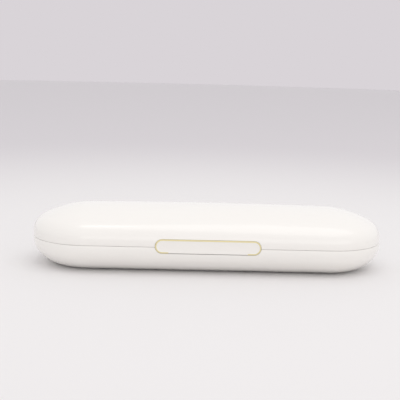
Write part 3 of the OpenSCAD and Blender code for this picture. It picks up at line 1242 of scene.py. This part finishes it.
@dataclass
class Tray:
    """The tray in the lower shell, with its wells, rests and screws."""

    handle: Well = Well((0.0, 12 * MM, 20.2 * MM), 16 * MM, 205 * MM)
    head: Well = Well((52 * MM, -17.5 * MM, 16 * MM), 9.5 * MM, 88 * MM)
    edge: float = 35.2 * MM
    wall: float = 1.4 * MM
    root: float = 1 * MM
    seat_w: float = 9 * MM
    seat_t: float = 1.6 * MM
    seat_top: float = 25.9 * MM
    web_x: float = 3.2 * MM
    web_t: float = 1 * MM
    web_y: float = -22.4 * MM
    web_l: float = 2 * MM
    web_top: float = 23 * MM
    bay_w: float = 56 * MM
    bay_d: float = 4 * MM
    recess_r: float = 2.2 * MM
    recess_d: float = 1 * MM
    rest_x: float = 58 * MM
    rest_reach: float = 59.5

    def wells(self, grow: float, top: float) -> list[Piece]:
        """The forms of all three wells, grown and ended at a height."""
        return [self.handle.form(1, grow, top), self.head.form(-1, grow, top), self.head.form(1, grow, top)]

    def build_tray(self) -> None:
        """Model the tray: a deck with three wells, the latch's bay, the spring's seat and screw recesses."""
        s = SIZES
        deck, low = s.deck_z, s.deck_z - self.root
        piece = start("tray_moulding", (s.end_x, 0, deck))
        draw((0, -self.edge, 0), (0, 0, -s.deck_t), (0, self.edge, 0))
        sweep(piece, s.end_x, 24, 1)
        cut(piece, *self.wells(self.wall, deck), how="UNION")
        cut(piece, block("above", 2 * s.length, (-s.width, s.width), (deck, s.length)))
        seat = block("seat", self.seat_w, (s.seat_y, s.seat_y + self.seat_t), (low, self.seat_top))
        webs = [block("web", self.web_t, (self.web_y, self.web_y + self.web_l), (low, self.web_top),
                      side * self.web_x) for side, _ in SIDES]
        cut(piece, seat, *webs, how="UNION")
        bay = block("bay", self.bay_w, (-s.half_w, s.bay_y), (deck - self.bay_d, deck + 2 * MM))
        cut(piece, *self.wells(0, deck + 1 * MM), bay)
        for boss in BOSSES:
            cut(piece, post(boss.x, boss.y, deck - self.recess_d, deck + self.recess_d, self.recess_r, 40))
        soften(piece, 0.35 * MM, 50, 3)
        finish_piece(piece, LINER, Body.BASE, "base_tray")

    def build_rests(self) -> None:
        """Model the soft rests in the wells."""
        for side, name in SIDES:
            for kind, well, x in (("handle", self.handle, self.rest_x),
                                  ("head", self.head, self.head.place[0])):
                rest = RibbedPad(well.radius - PAD_CLEAR, -self.rest_reach, 2 * self.rest_reach)
                rest.build(f"{kind}_rubber_rest_{name}", well.middle(side * x), f"{kind}_rest_{name}")

    def build_screws(self) -> None:
        """Model the tray's four screws."""
        places = {f"tray_screw_{index}": (boss.x, boss.y, SIZES.deck_z - self.recess_d)
                  for index, boss in enumerate(BOSSES, 1)}
        PanScrew().drive(places, Body.BASE, "tray_screws")


@dataclass
class Latch:
    """The push plate and its gold line, with the pin, lever and spring behind them."""

    plate_t: float = 2.4 * MM
    plate_round: float = 0.22 * MM
    face_rings: tuple[Span, ...] = (
        (0.25 * MM, 0), (0.6 * MM, 0), (0.35 * MM, 0.12 * MM), (0.5 * MM, 0.06 * MM))
    line_w: float = 0.82 * MM
    line_grow: float = 0.13 * MM
    line_t: float = 0.5 * MM
    line_lift: float = 0.03 * MM
    line_break: float = 51 * MM
    ends: int = 24
    rows: int = 12
    pin_r: float = 0.6 * MM
    pin_l: float = 71.6 * MM
    pin_place: Point = (0, -36.5 * MM, 16.4 * MM)
    pad_w: float = 44 * MM
    pad_t: float = 1.4 * MM
    pad_low: float = 15.35 * MM
    pad_high: float = 24 * MM
    blade_w: float = 20 * MM
    blade_t: float = 1.8 * MM
    shelf_low: float = 21 * MM
    hook_low: float = 27.1 * MM
    hook_high: float = 28.5 * MM
    hook_l: float = 3.1 * MM
    ramp_w: float = 22 * MM
    ramp_t: float = 1.6 * MM
    ramp_place: Point = (0, -32.1 * MM, 28.7 * MM)
    rib_x: tuple[float, ...] = (-7 * MM, 0.0, 7 * MM)
    rib_t: float = 1 * MM
    rib_top: float = 21.2 * MM
    rib_steps: tuple[Point, ...] = ((1 * MM, 2.6 * MM, 17.5 * MM), (2 * MM, 4 * MM, 19.4 * MM))
    wire_r: float = 0.25 * MM
    coil_r: float = 1.9 * MM
    coil_l: float = 4.4 * MM
    coil_y: float = -28.5 * MM
    curls: int = 4
    curl_steps: int = 28

    def drape(self, piece: Piece, lift: float, depth: float) -> None:
        """Lay a flat piece on the curve of the case's front.

        Args:
            piece: Object modelled flat, its face at Y = 0 and its back behind it.
            lift: How far the face stands proud.
            depth: Depth of a flat back that doesn't follow the curve, or 0 for none.
        """
        for vertex in piece.data.vertices:
            if depth and vertex.co.y > depth * 0.99:
                vertex.co.y -= SIZES.half_w
            else:
                vertex.co.y += SIZES.front_y(vertex.co.z) - lift
        piece.data.update()

    def slice_rows(self) -> None:
        """Cut level rows through the mesh in edit mode, so that it can follow the curve."""
        for row in range(1, self.rows):
            z = SIZES.latch_z - SIZES.latch_h / 2 + SIZES.latch_h * row / self.rows
            bpy.ops.mesh.select_all(action="SELECT")
            bpy.ops.mesh.bisect(plane_co=(0, 0, z), plane_no=Z_AXIS)

    @staticmethod
    def on_rim(point: Vector) -> bool:
        """Whether a point lies on the plate's outline."""
        x = max(abs(point.x) - SIZES.latch_flat, 0.0)
        return abs(math.hypot(x, point.z - SIZES.latch_z) - SIZES.latch_h / 2) < 0.02 * MM

    def build_plate(self) -> None:
        """Model the push plate: a pill with a soft rim and a slightly dished face."""
        s = SIZES
        piece = pill("push_plate", s.latch_flat, s.latch_h / 2, s.latch_z, self.ends)
        for ring, dish in self.face_rings:
            bpy.ops.mesh.inset(thickness=ring, depth=0)
            bpy.ops.transform.translate(value=(0, dish, 0))
        self.slice_rows()
        choose(piece, "EDGE", lambda points: all(self.on_rim(p) for p in points))
        bpy.ops.mesh.extrude_edges_move(TRANSFORM_OT_translate={"value": (0, self.plate_t, 0)})
        bpy.ops.mesh.edge_face_add()
        choose(piece, "EDGE", lambda points: all(self.on_rim(p) and abs(p.y) < TOUCH for p in points))
        bpy.ops.mesh.bevel(offset=self.plate_round, segments=3, affect="EDGES")
        weld()
        face_out()
        clear()
        self.drape(piece, 0, self.plate_t)
        finish_piece(piece, PLATE, Body.LATCH, "latch_plate", sharp=40)

    def build_trim(self) -> None:
        """Model the gold line: a ring with soft edges, broken along the bottom."""
        s, half_break = SIZES, self.line_break / 2
        radius = s.latch_h / 2 + self.line_grow
        piece = pill("gold_line", s.latch_flat, radius, s.latch_z, self.ends * 2)
        bpy.ops.mesh.inset(thickness=self.line_w + self.line_grow, depth=0)
        bpy.ops.mesh.delete(type="FACE")
        self.slice_rows()
        for side, _ in SIDES:
            bpy.ops.mesh.select_all(action="SELECT")
            bpy.ops.mesh.bisect(plane_co=(side * half_break, 0, 0), plane_no=X_AXIS)
        choose(piece, "FACE", lambda points: all(abs(p.x) < half_break + TOUCH and p.z < s.latch_z
                                                 for p in points))
        bpy.ops.mesh.delete(type="FACE")
        modify(piece, "SOLIDIFY", thickness=self.line_t, offset=0)
        soften(piece, 0.16 * MM, 50, 3)
        shift(piece, 0, self.line_t / 2, 0)
        self.drape(piece, self.line_lift, 0)
        finish_piece(piece, GOLD, Body.LATCH, "latch_trim", sharp=50)

    def build_pin(self) -> None:
        """Model the pin that the plate turns on."""
        SteelPin(self.pin_r, self.pin_l).build("latch_steel_pin", self.pin_place, "latch_pin")

    def build_lever(self) -> None:
        """Model the lever behind the plate: pad, shelf, blade and hook, with ribs under the shelf."""
        back, rear, wide = -SIZES.half_w + SIZES.wall, SIZES.bay_y, self.blade_w
        piece = block("lever_hook", self.pad_w, (back, back + self.pad_t), (self.pad_low, self.pad_high))
        parts = [block("shelf", wide, (back, rear), (self.shelf_low, self.shelf_low + self.blade_t)),
                 block("blade", wide, (rear - self.blade_t, rear), (self.shelf_low, self.hook_high)),
                 block("hook", wide, (rear - self.hook_l, rear), (self.hook_low, self.hook_high))]
        for x in self.rib_x:
            for near, far, low in self.rib_steps:
                parts.append(block("rib", self.rib_t, (back + near, back + far), (low, self.rib_top), x))
        cut(piece, *parts, how="UNION")
        half_t = self.ramp_t / 2
        ramp = block("ramp", self.ramp_w, (-half_t, half_t), (-half_t, half_t))
        ramp.data.transform(Matrix.Rotation(math.radians(45), 4, "X"))
        cut(piece, shift(ramp, *self.ramp_place))
        soften(piece, 0.22 * MM)
        finish_piece(piece, INNER, Body.LATCH, "latch_lever", sharp=40)

    def build_spring(self) -> None:
        """Model the coil that pushes the lever back."""
        clear()
        bpy.ops.mesh.primitive_circle_add(vertices=12, radius=self.wire_r, location=(self.coil_r, 0, 0))
        piece = take("latch_coil")
        steps = self.curl_steps * self.curls
        modify(piece, "SCREW", axis="Y", angle=math.radians(360 * self.curls), screw_offset=self.coil_l,
               steps=steps, render_steps=steps, use_merge_vertices=True)
        edit(piece)
        close_ends()
        face_out()
        shift(piece, 0, self.coil_y, SIZES.spring_z)
        finish_piece(piece, STEEL, Body.BASE, "latch_spring", sharp=50)
        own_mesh(piece)


@dataclass(frozen=True)
class Lamp:
    """A soft rectangular lamp, which lights the scene but isn't seen itself."""

    name: str
    place: Point
    aim: Point
    size: Span
    power: float
    tint: Colour

    def hang(self) -> None:
        """Make the lamp and point it at its aim."""
        data = bpy.data.lights.new(self.name, "AREA")
        data.shape = "RECTANGLE"
        data.size, data.size_y = self.size
        data.energy, data.color = self.power, self.tint
        lamp = bpy.data.objects.new(self.name, data)
        lamp.visible_camera = False
        bpy.context.scene.collection.objects.link(lamp)
        facing = (Vector(self.aim) - Vector(self.place)).to_track_quat("-Z", "Y")
        lamp.matrix_world = Matrix.Translation(self.place) @ facing.to_matrix().to_4x4()


LAMPS = (
    Lamp("overhead_box", (0.30, -0.25, 1.30), (0, -0.05, 0), (1.2, 1.2), 3.0, (1.0, 0.985, 0.965)),
    Lamp("front_fill", (0.40, -1.25, 0.28), (0, 0, 0.01), (1.8, 0.5), 1.5, (1.0, 0.985, 0.965)),
    Lamp("ceiling_lamp", (-0.16, -0.12, 0.75), (-0.06, 0, 0), (0.12, 0.12), 0.08, (1.0, 0.98, 0.95)))


@dataclass
class Studio:
    """Floor, light and camera."""

    distance: float = 0.600
    elevation: float = 12.19
    azimuth: float = 1.61
    roll: float = 1.588
    pixels_per_slope: float = 877.0
    frame_px: float = 400.0
    case_px: Span = (206.87, 236.07)
    floor_r: float = 3.0
    # The floor's colour goes from floor_tone near the case to a darker tone far off: painted shade, a
    # painted fall-off of light.
    fall_from: float = 0.16
    fall_to: float = 0.80
    floor_tone: Colour = (0.812, 0.80, 0.802)
    painted_shade_tone: Colour = (0.66, 0.635, 0.66)
    back_tone: Colour = (0.694, 0.658, 0.687)
    sky_tone: Colour = (1.0, 0.985, 0.99)
    sky_power: float = 0.92

    @staticmethod
    def lean(first: Vector, second: Vector, angle: float) -> tuple[Vector, Vector]:
        """Turn two directions in their plane, the first one towards the second."""
        c, s = math.cos(angle), math.sin(angle)
        return first * c + second * s, second * c - first * s

    def camera(self) -> None:
        """Place the camera so that the case's middle at the seam falls on its pixel."""
        target = Vector((0, SIZES.shift_y, SIZES.seam))
        e, a = math.radians(self.elevation), math.radians(self.azimuth)
        forward = Vector((math.sin(a) * math.cos(e), math.cos(a) * math.cos(e), -math.sin(e)))
        right = Vector((math.cos(a), -math.sin(a), 0))
        eye = target - forward * self.distance
        pan, tilt = (math.atan((px - self.frame_px / 2) / self.pixels_per_slope) for px in self.case_px)
        right, up = self.lean(right, right.cross(forward), math.radians(self.roll))
        forward, up = self.lean(forward, up, tilt)
        right, forward = self.lean(right, forward, pan)
        data = bpy.data.cameras.new("camera")
        data.sensor_width = 36
        data.lens = self.pixels_per_slope * data.sensor_width / self.frame_px
        data.clip_start = 0.01
        camera = bpy.data.objects.new("camera", data)
        bpy.context.scene.collection.objects.link(camera)
        basis = Matrix((right, up, -forward)).transposed().to_4x4()
        camera.matrix_world = Matrix.Translation(eye) @ basis
        bpy.context.scene.camera = camera

    def floor(self) -> None:
        """A wide pale disc whose tone falls off away from the case: painted shade, a painted pool of light
        round the case.
        """
        clear()
        bpy.ops.mesh.primitive_circle_add(vertices=96, radius=self.floor_r, fill_type="NGON",
                                          location=(0, 0, 0))
        floor = take("floor")
        bpy.ops.object.mode_set(mode="EDIT")
        bpy.ops.mesh.inset(thickness=self.floor_r * 0.5, depth=0)
        clear()
        material = bpy.data.materials.new("pale_floor")
        material.use_nodes = True
        wires = Wires(material.node_tree)
        # Painted shade: the floor's colour darkens with distance from the case, as if light fell off round
        # it.
        reach = wires.node("VectorMath", {0: wires.coords()}, operation="LENGTH").outputs["Value"]
        painted_falloff = wires.node("MapRange", {"Value": reach, "From Min": self.fall_from, "From Max": self.fall_to},
                          interpolation_type="SMOOTHSTEP").outputs["Result"]
        wires.feed(material.node_tree.nodes["Principled BSDF"], {
            "Base Color": wires.blend(painted_falloff, self.floor_tone, self.painted_shade_tone),
            "Roughness": 0.7, "Specular IOR Level": 0.25})
        floor.data.materials.append(material)

    def sky(self) -> None:
        """Even white light from all round, in front of a plain pale grey."""
        world = bpy.data.worlds.new("sky")
        bpy.context.scene.world = world
        world.use_nodes = True
        wires = Wires(world.node_tree)
        light = world.node_tree.nodes["Background"]
        wires.feed(light, {"Color": (*self.sky_tone, 1), "Strength": self.sky_power})
        seen = wires.node("Background", {"Color": (*self.back_tone, 1)})
        by_camera = wires.node("LightPath").outputs["Is Camera Ray"]
        mix = wires.node("MixShader", {0: by_camera, 1: light.outputs[0], 2: seen.outputs[0]})
        wires.feed(world.node_tree.nodes["World Output"], {"Surface": mix.outputs["Shader"]})

    def build(self) -> None:
        """Set up floor, camera, lamps and sky."""
        self.floor()
        self.camera()
        for lamp in LAMPS:
            lamp.hang()
        self.sky()
        bpy.context.scene.view_settings.view_transform = "Standard"


def main() -> None:
    """Build every piece and report it."""
    logging.basicConfig(level=logging.INFO, format="%(message)s")
    Studio().build()
    Base().build_shell()
    tray = Tray()
    tray.build_tray()
    tray.build_rests()
    tray.build_screws()
    Hinges().build()
    lid, latch = Lid(), Latch()
    lid.build_shell()
    lid.build_lining()
    lid.build_pads()
    latch.build_plate()
    latch.build_trim()
    latch.build_pin()
    latch.build_lever()
    latch.build_spring()
    lid.build_catch()
    lid.build_screws()
    clear()


if __name__ == "__main__":
    main()
